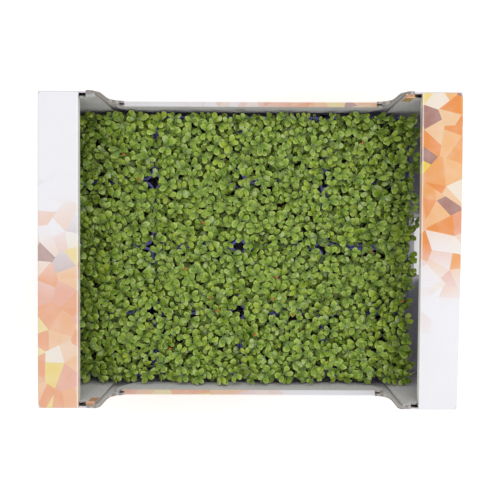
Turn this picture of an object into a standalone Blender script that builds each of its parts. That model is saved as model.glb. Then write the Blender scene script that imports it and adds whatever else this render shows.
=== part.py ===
"""Microgreens tray: a folded board carton that holds sixteen plastic cups of daikon cress.

Units are metres and +Z is up. The origin is the middle of the carton's underside. X runs along the
carton's long side and Y across it. Each cup holds a growing pad, and a stand of seedlings grows from
the pad. The seedlings are larger than life and fewer than on the real tray, so that they cover it.
"""

import math
import random

import bpy
from mathutils import Euler, Matrix, Vector

# The carton: a 400 x 300 mm blank of 3 mm board, with high ends, low sides and a ledge over each end.
CARTON_LENGTH = 0.400
CARTON_WIDTH = 0.300
LEDGE_TOP = 0.110
BOARD = 0.003
SIDE_HEIGHT = 0.0715
LEDGE_WIDTH = 0.0365
LEDGE_LENGTH = 0.297
LEDGE_CORNER = (0.0035, 0.006)
LIP_DEPTH = 0.0075
LIP_THICKNESS = 0.0028

# The high corners of the two sides, and the flap that is folded over the low part of each side.
SHOULDER_TOP_X = 0.1455
SHOULDER_WAIST_X = 0.1420
SHOULDER_FOOT_X = 0.1350
SHOULDER_BEVEL = 0.003
SHOULDER_RISE = 0.006
CORNER_FLAP_X = 0.1445
CORNER_FLAP_DROP = 0.001
FOLD_HALF_LENGTH = 0.128
FOLD_DEPTH = 0.025
FOLD_TAPER = 0.006
FOLD_THICKNESS = 0.0027
FOLD_EAR_X = 0.1363
FOLD_EAR_DEPTH = 0.007
FOLD_EAR_DROP = 0.0005
FOLD_SLOT = (0.1284, 0.1334)
FOLD_SLOT_WIDTH = 0.0018
FOLD_SLOT_DEPTH = 0.006

# The stacking tabs on the corners, the strip tucked in behind each, the hole beside it, and the
# notches in the foot that take the tabs of the tray below.
TAB_MIDDLE_X = 0.1515
TAB_WIDTH = 0.010
TAB_RISE = 0.007
TAB_CUT = 0.002
TUCK_X = (0.1450, 0.1565)
TUCK_FOOT = 0.097
TUCK_TOP = 0.1120
TUCK_PROUD = 0.0004
CORNER_SLOT_X = (0.1572, 0.1628)
CORNER_SLOT_WIDTH = 0.0026
CORNER_SLOT_DEPTH = 0.010
NOTCH_WIDTH = 0.016
NOTCH_HEIGHT = 0.008

# The finger opening at the foot of each end wall, which also cuts the edge of the base.
FINGER_SILL_HALF = 0.031
FINGER_HALF_WIDTH = 0.041
FINGER_WIDEST_Z = 0.013
FINGER_TOP_HALF = 0.035
FINGER_TOP_Z = 0.022
FINGER_BASE_DEPTH = 0.010

# The cups: four columns by four rows, pushed towards one end of the carton.
COLUMNS = 4
ROWS = 4
CUP_PITCH_X = 0.0905
CUP_PITCH_Y = 0.0697
CUPS_MIDDLE = (-0.0115, 0.0013)
CUP_GAP = 0.0006
CUP_FOOT_GAP = 0.0003
CUP_HEIGHT = 0.0445
CUP_WALL = 0.001
RIM_WIDTH = 0.0022
RIM_HEIGHT = 0.0016
CUP_TAPER = 0.0045
CUP_CORNER = 0.011

# The growing pad in each cup, and the pocket in it that the foot of the seedlings stands in.
PAD_HEIGHT = 0.0168
PAD_CLEARANCE = 0.0005
POCKET_SIZE = (0.054, 0.034)
POCKET_DEPTH = 0.004
TOUCH_GAP = 0.0003

# The seedlings: a dense core of stems in each cup, and leaf pairs that stand out of it.
SEEDLING_COLUMNS = 4
SEEDLING_ROWS = 3
CORE_TOP = 0.0465
CORE_CLEARANCE = 0.0012
CORE_SHOULDER = 0.006
LOW_LEAF_Z = 0.0520
HIGH_LEAF_Z = 0.0602
LEAF_THICKNESS = 0.0008
STEM_RADIUS = 0.0012
STEM_SINK = 0.004
STEM_SPREAD = 0.16
PLACE_JITTER = 0.0014
LARGEST_LEAN = math.radians(6)
WALL_CLEARANCE = 0.0009
SEED = 7

# One leaf pair, as half of one leaf's outline: along the pair, across it, and height over the stem.
LEAF_WAIST = (0.0, 0.0023, 0.0)
LEAF_SIDE = (0.0055, 0.0088, 0.0017)
LEAF_LOBE = (0.0128, 0.0061, 0.0036)
LEAF_NOTCH = (0.0106, 0.0, 0.0023)
LEAF_REACH = math.hypot(LEAF_LOBE[0], LEAF_LOBE[1])
RING_POINTS = 12

BOARD_GREY = (0.62, 0.61, 0.59, 1.0)
CUP_BLUE = (0.055, 0.065, 0.26, 1.0)
PAD_BROWN = (0.30, 0.22, 0.13, 1.0)
LEAF_GREEN = (0.16, 0.30, 0.05, 1.0)


def clear_scene():
    for obj in list(bpy.data.objects):
        bpy.data.objects.remove(obj, do_unlink=True)


def make_material(name, colour, roughness):
    material = bpy.data.materials.new(name)
    material.use_nodes = True
    shader = material.node_tree.nodes["Principled BSDF"]
    shader.inputs["Base Color"].default_value = colour
    shader.inputs["Roughness"].default_value = roughness
    shader.inputs["Metallic"].default_value = 0.0
    return material


def make_object(name, points, faces):
    mesh = bpy.data.meshes.new(name)
    mesh.from_pydata([tuple(point) for point in points], [], faces)
    mesh.validate()
    obj = bpy.data.objects.new(name, mesh)
    bpy.context.scene.collection.objects.link(obj)
    return obj


def loft(name, rings):
    """A closed solid through rings of points that run anticlockwise seen from the last ring's side."""
    count = len(rings[0])
    points = [point for ring in rings for point in ring]
    faces = [tuple(reversed(range(count)))]
    for level in range(len(rings) - 1):
        low = level * count
        high = low + count
        for index in range(count):
            after = (index + 1) % count
            faces.append((low + index, low + after, high + after, high + index))
    last = (len(rings) - 1) * count
    faces.append(tuple(range(last, last + count)))
    return make_object(name, points, faces)


def upright_prism(name, outline, low, high):
    """A plan outline, anticlockwise from above, between two heights."""
    return loft(name, [[(x, y, z) for x, y in outline] for z in (low, high)])


def lengthwise_prism(name, outline, low, high):
    """An outline of (y, z) points between two X values."""
    return loft(name, [[(x, y, z) for y, z in outline] for x in (low, high)])


def crosswise_prism(name, outline, low, high):
    """An outline of (x, z) points between two Y values."""
    return loft(name, [[(x, y, z) for x, z in outline] for y in (high, low)])


def rectangle(low, high):
    return [(low[0], low[1]), (high[0], low[1]), (high[0], high[1]), (low[0], high[1])]


def cut_rectangle(half_x, half_y, corner):
    """A rectangle about the origin with its four corners cut off, as eight points."""
    inner_x = half_x - corner
    inner_y = half_y - corner
    return [
        (inner_x, -half_y),
        (half_x, -inner_y),
        (half_x, inner_y),
        (inner_x, half_y),
        (-inner_x, half_y),
        (-half_x, inner_y),
        (-half_x, -inner_y),
        (-inner_x, -half_y),
    ]


def placed(outline, middle, z):
    return [(middle[0] + x, middle[1] + y, z) for x, y in outline]


def combine(obj, others, operation):
    """Joins the other objects to obj, or cuts them from it, applies that, and removes them."""
    group = bpy.data.collections.new(obj.name + "_parts")
    bpy.context.scene.collection.children.link(group)
    for other in others:
        bpy.context.scene.collection.objects.unlink(other)
        group.objects.link(other)
    modifier = obj.modifiers.new("Combine", "BOOLEAN")
    modifier.operation = operation
    modifier.operand_type = "COLLECTION"
    modifier.collection = group
    modifier.solver = "EXACT"
    graph = bpy.context.evaluated_depsgraph_get()
    result = bpy.data.meshes.new_from_object(obj.evaluated_get(graph))
    result.name = obj.name
    obj.modifiers.clear()
    obj.data = result
    for other in others:
        bpy.data.objects.remove(other, do_unlink=True)
    bpy.data.collections.remove(group)
    return obj


def finish(obj, material):
    obj.data.materials.clear()
    obj.data.materials.append(material)


def side_outline():
    """One long side seen square on: high at both corners, with a steep shoulder down to the low edge."""
    half = CARTON_LENGTH / 2
    top = LEDGE_TOP - BOARD
    right = [
        (half, top),
        (SHOULDER_TOP_X, top),
        (SHOULDER_TOP_X - SHOULDER_BEVEL, top - SHOULDER_BEVEL),
        (SHOULDER_WAIST_X, SIDE_HEIGHT + 2 * SHOULDER_RISE),
        (SHOULDER_WAIST_X - SHOULDER_BEVEL / 2, SIDE_HEIGHT + SHOULDER_RISE),
        (SHOULDER_FOOT_X, SIDE_HEIGHT + SHOULDER_RISE / 4),
        (FOLD_HALF_LENGTH, SIDE_HEIGHT),
    ]
    left = [(-x, z) for x, z in reversed(right)]
    return [(-half, 0.0), (half, 0.0)] + right + left


def carton_side(sign):
    """One side wall, its folded-over flap, its corner flaps, its stacking tabs and their tucked strips."""
    outer = CARTON_WIDTH / 2
    inner = outer - BOARD
    flap_inner = inner - FOLD_THICKNESS
    corner_inner = inner - BOARD
    overlap = BOARD / 2
    panels = [crosswise_prism("side", side_outline(), inner, outer)]
    panels.append(crosswise_prism("fold", fold_outline(), flap_inner, inner + overlap))
    top = LEDGE_TOP - BOARD
    for end in (-1, 1):
        near = end * CORNER_FLAP_X
        far = end * (CARTON_LENGTH / 2 - overlap)
        flap = rectangle((min(near, far), BOARD / 2), (max(near, far), top - CORNER_FLAP_DROP))
        panels.append(crosswise_prism("corner_flap", flap, corner_inner, inner + overlap))
        panels.append(crosswise_prism("tab", tab_outline(end, top), inner, outer))
        tuck = rectangle(
            (min(end * x for x in TUCK_X), TUCK_FOOT), (max(end * x for x in TUCK_X), TUCK_TOP)
        )
        panels.append(crosswise_prism("tuck", tuck, corner_inner - TUCK_PROUD, inner + overlap / 2))
    return panels if sign > 0 else mirrored(panels, (0, 1, 0))


def fold_outline():
    """The flap folded over the low part of a side, with a small ear past each end of the fold."""
    foot = SIDE_HEIGHT - FOLD_DEPTH
    right = [
        (FOLD_HALF_LENGTH - FOLD_TAPER, foot),
        (FOLD_EAR_X, SIDE_HEIGHT - FOLD_EAR_DEPTH),
        (FOLD_EAR_X, SIDE_HEIGHT - FOLD_EAR_DROP),
        (FOLD_HALF_LENGTH, SIDE_HEIGHT - FOLD_EAR_DROP),
        (FOLD_HALF_LENGTH, SIDE_HEIGHT),
    ]
    return right + [(-x, z) for x, z in reversed(right)]


def mirrored(panels, axis):
    """The same panels, on the other side of the middle."""
    for panel in panels:
        panel.data.transform(Matrix.Scale(-1, 4, axis))
        panel.data.flip_normals()
    return panels


def tab_outline(end, foot):
    half = TAB_WIDTH / 2
    top = foot + TAB_RISE
    shape = [
        (-half, foot - BOARD),
        (half, foot - BOARD),
        (half, top - TAB_CUT),
        (half - TAB_CUT, top),
        (-half + TAB_CUT, top),
        (-half, top - TAB_CUT),
    ]
    return [(end * TAB_MIDDLE_X + x, z) for x, z in shape]


def carton_end(sign):
    """One end wall, the ledge folded in over it, and the ledge's folded-down lip."""
    half_x = CARTON_LENGTH / 2
    half_y = CARTON_WIDTH / 2
    half_ledge = LEDGE_LENGTH / 2
    under = LEDGE_TOP - BOARD
    inner = half_x - LEDGE_WIDTH
    upper = half_ledge - LEDGE_CORNER[1]
    wall = [
        (-half_y, 0.0),
        (half_y, 0.0),
        (half_y, under),
        (upper, under),
        (upper, under + BOARD / 2),
        (-upper, under + BOARD / 2),
        (-upper, under),
        (-half_y, under),
    ]
    ledge = [
        (inner, -half_ledge),
        (half_x - LEDGE_CORNER[0], -half_ledge),
        (half_x, -half_ledge + LEDGE_CORNER[1]),
        (half_x, half_ledge - LEDGE_CORNER[1]),
        (half_x - LEDGE_CORNER[0], half_ledge),
        (inner, half_ledge),
    ]
    lip = rectangle(
        (inner, -half_ledge + BOARD / 2), (inner + LIP_THICKNESS, half_ledge - BOARD / 2)
    )
    panels = [
        lengthwise_prism("end", wall, half_x - BOARD, half_x),
        upright_prism("ledge", ledge, under, LEDGE_TOP),
        upright_prism("lip", lip, LEDGE_TOP - LIP_DEPTH, LEDGE_TOP - BOARD / 2),
    ]
    return panels if sign > 0 else mirrored(panels, (1, 0, 0))


def carton_cutters():
    """What is cut from the board: the finger openings, the notches for the tabs, and the narrow slots."""
    half_x = CARTON_LENGTH / 2
    half_y = CARTON_WIDTH / 2
    past = BOARD
    finger = [
        (-FINGER_SILL_HALF, -past),
        (FINGER_SILL_HALF, -past),
        (FINGER_HALF_WIDTH, FINGER_WIDEST_Z),
        (FINGER_TOP_HALF, FINGER_TOP_Z),
        (-FINGER_TOP_HALF, FINGER_TOP_Z),
        (-FINGER_HALF_WIDTH, FINGER_WIDEST_Z),
    ]
    cutters = []
    for end in (-1, 1):
        inside = end * (half_x - FINGER_BASE_DEPTH)
        outside = end * (half_x + past)
        low = min(inside, outside)
        high = max(inside, outside)
        cutters.append(lengthwise_prism("finger_cut", finger, low, high))
        for side in (-1, 1):
            middle = end * TAB_MIDDLE_X
            notch_inner = side * (half_y - 3 * BOARD)
            notch_outer = side * (half_y + past)
            notch = rectangle(
                (middle - NOTCH_WIDTH / 2, min(notch_inner, notch_outer)),
                (middle + NOTCH_WIDTH / 2, max(notch_inner, notch_outer)),
            )
            cutters.append(upright_prism("notch_cut", notch, -past, NOTCH_HEIGHT))
            cutters.append(slot_cutter(end, side, FOLD_SLOT, FOLD_SLOT_WIDTH, SIDE_HEIGHT - FOLD_SLOT_DEPTH))
            corner_foot = LEDGE_TOP - BOARD - CORNER_SLOT_DEPTH
            cutters.append(slot_cutter(end, side, CORNER_SLOT_X, CORNER_SLOT_WIDTH, corner_foot))
    return cutters


def slot_cutter(end, side, span, width, foot):
    """A narrow gap between the layers of a side, open at the top, in one corner of the carton."""
    middle = side * (CARTON_WIDTH / 2 - BOARD)
    low = (min(end * x for x in span), middle - width / 2)
    high = (max(end * x for x in span), middle + width / 2)
    return upright_prism("slot_cut", rectangle(low, high), foot, LEDGE_TOP + BOARD)


def build_carton(material):
    half_x = CARTON_LENGTH / 2
    half_y = CARTON_WIDTH / 2
    floor = rectangle((-half_x, -half_y), (half_x, half_y))
    carton = upright_prism("carton", floor, 0.0, BOARD)
    panels = []
    for sign in (-1, 1):
        panels += carton_side(sign)
        panels += carton_end(sign)
    combine(carton, panels, "UNION")
    combine(carton, carton_cutters(), "DIFFERENCE")
    finish(carton, material)


def cup_middle(column, row):
    return (
        CUPS_MIDDLE[0] + (column - (COLUMNS - 1) / 2) * CUP_PITCH_X,
        CUPS_MIDDLE[1] + (row - (ROWS - 1) / 2) * CUP_PITCH_Y,
    )


def cup_half_size(height):
    """Half of the cup body's outer size, without the rim, at a height over the cup's foot."""
    share = height / CUP_HEIGHT
    narrowing = RIM_WIDTH + CUP_TAPER * (1 - share)
    return (
        (CUP_PITCH_X - CUP_GAP) / 2 - narrowing,
        (CUP_PITCH_Y - CUP_GAP) / 2 - narrowing,
    )


def cup_ring(middle, height, inset, widen=0.0):
    half_x, half_y = cup_half_size(height)
    outline = cut_rectangle(
        half_x - inset + widen, half_y - inset + widen, CUP_CORNER - inset + widen
    )
    return placed(outline, middle, BOARD + CUP_FOOT_GAP + height)


def build_cup(name, middle, material):
    """A tapered cup with a flat rim, as one shell from the outside of its foot to its inner floor."""
    rim_under = CUP_HEIGHT - RIM_HEIGHT
    rings = [
        cup_ring(middle, 0.0, 0.0),
        cup_ring(middle, rim_under, 0.0),
        cup_ring(middle, rim_under, 0.0, RIM_WIDTH),
        cup_ring(middle, CUP_HEIGHT, 0.0, RIM_WIDTH),
        cup_ring(middle, CUP_HEIGHT, CUP_WALL),
        cup_ring(middle, CUP_WALL, CUP_WALL),
    ]
    finish(loft(name, rings), material)


def build_pad(name, middle, material):
    low = CUP_WALL + TOUCH_GAP
    inset = CUP_WALL + PAD_CLEARANCE
    pad = loft(name, [cup_ring(middle, low, inset), cup_ring(middle, PAD_HEIGHT, inset)])
    top = BOARD + CUP_FOOT_GAP + PAD_HEIGHT
    half = (POCKET_SIZE[0] / 2, POCKET_SIZE[1] / 2)
    pocket = rectangle(
        (middle[0] - half[0], middle[1] - half[1]), (middle[0] + half[0], middle[1] + half[1])
    )
    cutter = upright_prism("pocket", pocket, top - POCKET_DEPTH, top + POCKET_DEPTH)
    combine(pad, [cutter], "DIFFERENCE")
    finish(pad, material)


def leaf_ring(lift):
    """The twelve points round a leaf pair, anticlockwise from above, from one waist point."""
    half = [LEAF_SIDE, LEAF_LOBE]
    ring = [(LEAF_WAIST[0], -LEAF_WAIST[1], LEAF_WAIST[2])]
    ring += [(x, -y, z) for x, y, z in half]
    ring.append(LEAF_NOTCH)
    ring += list(reversed(half))
    ring.append(LEAF_WAIST)
    ring += [(-x, y, z) for x, y, z in half]
    ring.append((-LEAF_NOTCH[0], 0.0, LEAF_NOTCH[2]))
    ring += [(-x, -y, z) for x, y, z in reversed(half)]
    return [Vector((x, y, z + lift)) for x, y, z in ring]


def leaf_faces(offset, top):
    """Triangles over one face of a leaf pair. The underside leaves its middle open for the stem."""
    leaves = [(0, 1, 2), (0, 2, 3), (6, 3, 4), (6, 4, 5)]
    leaves += [(6, 7, 8), (6, 8, 9), (0, 9, 10), (0, 10, 11)]
    if top:
        leaves += [(0, 3, 6), (0, 6, 9)]
    turned = leaves if top else [tuple(reversed(face)) for face in leaves]
    return [tuple(offset + index for index in face) for face in turned]


def build_seedling(centre, root, heading, lean):
    """One seedling as a closed solid: a three-sided stem with a pair of notched seed leaves on it."""
    turn = Euler((lean[0], lean[1], heading)).to_matrix()
    points = [centre + turn @ point for point in leaf_ring(0.0)]
    points += [centre + turn @ point for point in leaf_ring(-LEAF_THICKNESS)]
    faces = leaf_faces(0, True) + leaf_faces(RING_POINTS, False)
    for index in range(RING_POINTS):
        after = (index + 1) % RING_POINTS
        faces.append((index, RING_POINTS + index, RING_POINTS + after, after))
    stem = [Vector((STEM_RADIUS * math.cos(a), STEM_RADIUS * math.sin(a), 0)) for a in stem_angles()]
    under = Vector((0, 0, -LEAF_THICKNESS))
    points += [centre + turn @ (point + under) for point in stem]
    points += [root + turn @ point for point in stem]
    low = 2 * RING_POINTS
    waist_a, notch_a, waist_b, notch_b = (RING_POINTS + index for index in (0, 3, 6, 9))
    faces += [(low, low + 1, waist_b), (low, waist_b, notch_a), (low, notch_a, waist_a)]
    faces += [(low, waist_a, low + 2), (low + 2, waist_a, notch_b)]
    faces += [(low + 1, low + 2, notch_b), (low + 1, notch_b, waist_b)]
    for index in range(3):
        after = (index + 1) % 3
        faces.append((low + index, low + 3 + index, low + 3 + after, low + after))
    faces.append((low + 5, low + 4, low + 3))
    return make_object("seedling", points, faces)


def stem_angles():
    return [math.radians(angle) for angle in (0, 120, 240)]


def seedling_grid():
    """The first seedling's place and the steps to the next, so that all leaves stay off the carton."""
    reach = LEAF_REACH + PLACE_JITTER + WALL_CLEARANCE
    inner_x = CARTON_LENGTH / 2 - BOARD
    inner_y = CARTON_WIDTH / 2 - 2 * BOARD
    half_x = COLUMNS * CUP_PITCH_X / 2
    half_y = ROWS * CUP_PITCH_Y / 2
    low_x = max(CUPS_MIDDLE[0] - half_x + CUP_PITCH_X / SEEDLING_COLUMNS / 2, reach - inner_x)
    high_x = min(CUPS_MIDDLE[0] + half_x - CUP_PITCH_X / SEEDLING_COLUMNS / 2, inner_x - reach)
    low_y = max(CUPS_MIDDLE[1] - half_y + CUP_PITCH_Y / SEEDLING_ROWS / 2, reach - inner_y)
    high_y = min(CUPS_MIDDLE[1] + half_y - CUP_PITCH_Y / SEEDLING_ROWS / 2, inner_y - reach)
    step_x = (high_x - low_x) / (COLUMNS * SEEDLING_COLUMNS - 1)
    step_y = (high_y - low_y) / (ROWS * SEEDLING_ROWS - 1)
    return (low_x, low_y), (step_x, step_y)


def build_cress(name, column, row, draw, material):
    """The seedlings of one cup: neighbours stand at two heights, so that their leaves never cross."""
    middle = cup_middle(column, row)
    inset = CUP_WALL + CORE_CLEARANCE
    low = PAD_HEIGHT + TOUCH_GAP
    top = CORE_TOP - BOARD - CUP_FOOT_GAP
    core = loft(
        name,
        [
            cup_ring(middle, low, inset),
            cup_ring(middle, top - CORE_SHOULDER, inset),
            cup_ring(middle, top, inset + CORE_SHOULDER / 2),
        ],
    )
    half = (POCKET_SIZE[0] / 2 - TOUCH_GAP, POCKET_SIZE[1] / 2 - TOUCH_GAP)
    foot = rectangle(
        (middle[0] - half[0], middle[1] - half[1]), (middle[0] + half[0], middle[1] + half[1])
    )
    pad_top = BOARD + CUP_FOOT_GAP + PAD_HEIGHT
    parts = [
        upright_prism("foot", foot, pad_top - POCKET_DEPTH + TOUCH_GAP, pad_top + POCKET_DEPTH)
    ]
    start, step = seedling_grid()
    for i in range(column * SEEDLING_COLUMNS, (column + 1) * SEEDLING_COLUMNS):
        for j in range(row * SEEDLING_ROWS, (row + 1) * SEEDLING_ROWS):
            leaves = Vector((
                start[0] + i * step[0] + draw.uniform(-PLACE_JITTER, PLACE_JITTER),
                start[1] + j * step[1] + draw.uniform(-PLACE_JITTER, PLACE_JITTER),
                HIGH_LEAF_Z if (i + j) % 2 else LOW_LEAF_Z,
            ))
            root = leaves.lerp(Vector((middle[0], middle[1], 0)), STEM_SPREAD)
            root.z = CORE_TOP - STEM_SINK
            lean = [draw.uniform(-LARGEST_LEAN, LARGEST_LEAN) / math.sqrt(2) for _ in range(2)]
            heading = draw.uniform(0, math.pi)
            parts.append(build_seedling(leaves, root, heading, lean))
    combine(core, parts, "UNION")
    finish(core, material)


def main():
    clear_scene()
    board = make_material("grey_board", BOARD_GREY, 0.8)
    plastic = make_material("blue_plastic", CUP_BLUE, 0.35)
    fibre = make_material("growing_fibre", PAD_BROWN, 0.95)
    leaf = make_material("cress_green", LEAF_GREEN, 0.55)
    build_carton(board)
    draw = random.Random(SEED)
    for row in range(ROWS):
        for column in range(COLUMNS):
            label = f"{row * COLUMNS + column + 1:02d}"
            middle = cup_middle(column, row)
            build_cup("cup_" + label, middle, plastic)
            build_pad("pad_" + label, middle, fibre)
            build_cress("cress_" + label, column, row, draw, leaf)


main()
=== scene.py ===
"""Looks of the microgreens tray: printed board carton, blue cups, fibre pads, cress seedlings.

Units are metres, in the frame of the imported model. +Z is up, and +Y is the top of the picture.
"""

import math

import bmesh
import bpy
import numpy as np
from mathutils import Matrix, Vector


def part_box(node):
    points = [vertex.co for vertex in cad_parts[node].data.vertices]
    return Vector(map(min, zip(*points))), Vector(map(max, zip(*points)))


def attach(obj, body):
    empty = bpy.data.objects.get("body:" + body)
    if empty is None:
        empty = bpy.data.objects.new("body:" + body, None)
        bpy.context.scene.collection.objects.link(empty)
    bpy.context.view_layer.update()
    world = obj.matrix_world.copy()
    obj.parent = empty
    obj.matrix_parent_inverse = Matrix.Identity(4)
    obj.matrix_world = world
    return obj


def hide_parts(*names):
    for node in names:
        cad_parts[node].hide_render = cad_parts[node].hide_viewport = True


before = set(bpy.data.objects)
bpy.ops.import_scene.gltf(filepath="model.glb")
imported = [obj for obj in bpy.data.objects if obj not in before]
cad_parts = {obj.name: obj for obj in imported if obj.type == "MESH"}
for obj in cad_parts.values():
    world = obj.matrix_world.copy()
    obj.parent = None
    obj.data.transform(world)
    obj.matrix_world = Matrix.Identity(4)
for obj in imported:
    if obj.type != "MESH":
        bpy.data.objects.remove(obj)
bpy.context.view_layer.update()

# The carton's main sizes. The outer ones are read from the frame, and the others are the CAD's.
CARTON_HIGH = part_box("carton")[1]
HALF_LENGTH = CARTON_HIGH.x
HALF_WIDTH = CARTON_HIGH.y
BOARD = 0.003
TAB_RISE = 0.004
LEDGE_TOP = CARTON_HIGH.z - TAB_RISE
SIDE_TOP = 0.0715
LEDGE_INNER = 0.1635
LIP_FOOT = 0.1025
TUCK_INNER = 0.1436
TUCK_FOOT = 0.097
TUCK_TOP = 0.112
# How far off a level a face may be, and how far under a foot a test starts.
FACE_TOLERANCE = 0.0004
BELOW_FOOT = 0.001

CUP_NAMES = [f"cup_{index:02d}" for index in range(1, 17)]
PAD_NAMES = [f"pad_{index:02d}" for index in range(1, 17)]
CRESS_NAMES = [f"cress_{index:02d}" for index in range(1, 17)]


def add_object(name, mesh, materials):
    obj = bpy.data.objects.new(name, mesh)
    bpy.context.scene.collection.objects.link(obj)
    for material in materials:
        mesh.materials.append(material)
    return obj


def smooth(mesh, degrees):
    """Smooth shading, with sharp edges where faces meet at more than that angle."""
    for face in mesh.polygons:
        face.use_smooth = True
    mesh.set_sharp_from_angle(angle=math.radians(degrees))


def place(obj, slot, *nodes):
    """Puts a finished piece on the one body and lets it stand for its nodes."""
    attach(obj, "root")
    if nodes:
        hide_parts(*nodes)


# Materials


class Graph:
    """A material's node tree, with short ways to add nodes and join them."""

    def __init__(self, name, roughness):
        self.material = bpy.data.materials.new(name)
        self.material.use_nodes = True
        self.nodes = self.material.node_tree.nodes
        self.links = self.material.node_tree.links
        self.shader = self.nodes["Principled BSDF"]
        self.shader.inputs["Roughness"].default_value = roughness

    def add(self, kind, inputs=None, **settings):
        node = self.nodes.new(kind)
        for key, value in settings.items():
            setattr(node, key, value)
        for key, value in (inputs or {}).items():
            if isinstance(value, bpy.types.NodeSocket):
                self.links.new(value, node.inputs[key])
            else:
                node.inputs[key].default_value = value
        return node

    def math(self, operation, first, second=0.0):
        return self.add("ShaderNodeMath", {0: first, 1: second}, operation=operation).outputs[0]

    def mix(self, factor, first, second):
        """Two colours mixed. The Mix node's first colour is its input 6, and the second input 7."""
        inputs = {0: factor, 6: first, 7: second}
        return self.add("ShaderNodeMix", inputs, data_type="RGBA").outputs[2]

    def speckle(self, colour, marks, stops, over):
        """A colour with another laid over it, as much as a grey ramp makes of the marks."""
        return self.mix(self.grey_ramp(marks, stops), colour, over)

    def ramp(self, factor, stops, interpolation="LINEAR"):
        node = self.add("ShaderNodeValToRGB", {0: factor})
        ramp = node.color_ramp
        ramp.interpolation = interpolation
        while len(ramp.elements) < len(stops):
            ramp.elements.new(1.0)
        for element, (position, colour) in zip(ramp.elements, stops):
            element.position = position
            element.color = colour
        return node.outputs[0]

    def grey_ramp(self, factor, stops):
        return self.ramp(factor, [(position, (v, v, v, 1.0)) for position, v in stops])

    def place(self):
        return self.add("ShaderNodeTexCoord").outputs["Object"]

    def axes(self, vector):
        return self.add("ShaderNodeSeparateXYZ", {0: vector}).outputs

    def stretched(self, scale):
        return self.add("ShaderNodeMapping", {"Vector": self.place(), "Scale": scale}).outputs[0]

    def noise(self, scale, detail=2.0, vector=None):
        inputs = {"Vector": vector or self.place(), "Scale": scale, "Detail": detail}
        return self.add("ShaderNodeTexNoise", inputs).outputs["Fac"]

    def bump(self, height, distance, strength=1.0, normal=None):
        inputs = {"Height": height, "Distance": distance, "Strength": strength}
        if normal is not None:
            inputs["Normal"] = normal
        return self.add("ShaderNodeBump", inputs).outputs[0]

    def drive(self, **sockets):
        """Joins sockets to the shader's inputs of the same names, and gives the material."""
        for key, value in sockets.items():
            self.links.new(value, self.shader.inputs[key.replace("_", " ")])
        return self.material


FLUTE_PITCH = 0.0062
FACING_X = 0.7


def flute_wave(graph, axis_index):
    """A wave along one axis, at the pitch of the board's flutes."""
    along = graph.axes(graph.place())[axis_index]
    turns = graph.math("MULTIPLY", along, 2 * math.pi / FLUTE_PITCH)
    return graph.math("SINE", turns)


def grey_board_material():
    """Uncoated grey board: short fibres, faint clouds, and the flutes showing through."""
    graph = Graph("grey_board", 0.85)
    fibres = graph.noise(1.0, 4.0, graph.stretched((900, 900, 260)))
    clouds = graph.noise(28.0, 3.0)
    specks = graph.noise(1500.0, 1.0)
    tone = graph.ramp(fibres, [(0.3, (0.61, 0.585, 0.62, 1)), (0.7, (0.74, 0.71, 0.75, 1))])
    colour = graph.speckle(tone, clouds, [(0.35, 0.0), (0.7, 0.4)], (0.80, 0.77, 0.80, 1))
    colour = graph.speckle(colour, specks, [(0.64, 0.0), (0.72, 0.45)], (0.25, 0.24, 0.22, 1))
    flutes = graph.bump(flute_wave(graph, 0), 0.00006, 0.5)
    return graph.drive(Base_Color=colour, Normal=graph.bump(fibres, 0.0001, 0.6, flutes))


def cut_board_material():
    """The board's cut edges: two pale liners, with painted shade for the hollow flutes between
    them.
    """
    graph = Graph("cut_board", 0.9)
    along_x = flute_wave(graph, 0)
    along_y = flute_wave(graph, 1)
    normal_x = graph.axes(graph.add("ShaderNodeNewGeometry").outputs["Normal"])[0]
    faces_x = graph.math("GREATER_THAN", graph.math("ABSOLUTE", normal_x), FACING_X)
    wave = graph.mix(faces_x, along_x, along_y)
    fibres = graph.noise(700.0, 3.0)
    # Painted shade where the flutes are hollow.
    gaps = graph.grey_ramp(graph.math("ADD", wave, fibres), [(0.25, 0.6), (0.75, 0.0)])
    colour = graph.mix(gaps, (0.42, 0.395, 0.365, 1), (0.15, 0.125, 0.105, 1))
    return graph.drive(Base_Color=colour, Normal=graph.bump(fibres, 0.0002, 0.7))


# The print: a mosaic of warm facets that fades to near white, on the board's coated outer face.
# Bands are lowest and highest values: X and Y from the carton's middle, Z from its underside.
CELLS_PER_METRE = 30.0
FACETS_PER_CELL = 5
WEDGE_STEPS = (0.381, 0.277)
FOLD_SHEAR = 0.7
MIDDLE_WARMTH = 0.34
WARMTH_SCATTER = 0.36
MIDDLE_INK = 0.88
INK_GAIN = 0.12
PAPER = (0.765, 0.76, 0.795, 1)
CLOUDED_PAPER = (0.86, 0.84, 0.84, 1)
# Painted highlight: the pale colour that the rounded folds are lightened towards.
FOLD_HIGHLIGHT_PAPER = (0.93, 0.90, 0.87, 1)
# Near-white: unprinted paper on the tucked strips' tops, and a painted highlight along each lip's
# foot.
BARE_PAPER_AND_HIGHLIGHT = (0.90, 0.895, 0.89, 1)
BARE_AND_HIGHLIGHT_SHARE = 0.9
# The band along each lip's foot that is painted as a highlight.
LIP_HIGHLIGHT_X = (LEDGE_INNER - 0.004, LEDGE_INNER + 0.004)
LIP_HIGHLIGHT_Z = (LIP_FOOT - BELOW_FOOT, LIP_FOOT + 0.0032)
LIP_HIGHLIGHT_END = HALF_WIDTH - 0.0012
# Painted shade along the fold on top of each low side.
STRIP_SHADE = (0.36, 0.33, 0.33, 1)
STRIP_SHADE_SHARE = 0.35
STRIP_SHADE_HALF_LENGTH = 0.1282
STRIP_SHADE_BAND_Z = (SIDE_TOP - 0.003, SIDE_TOP + 0.001)
TUCK_GREY = (0.33, 0.325, 0.33, 1)
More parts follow.
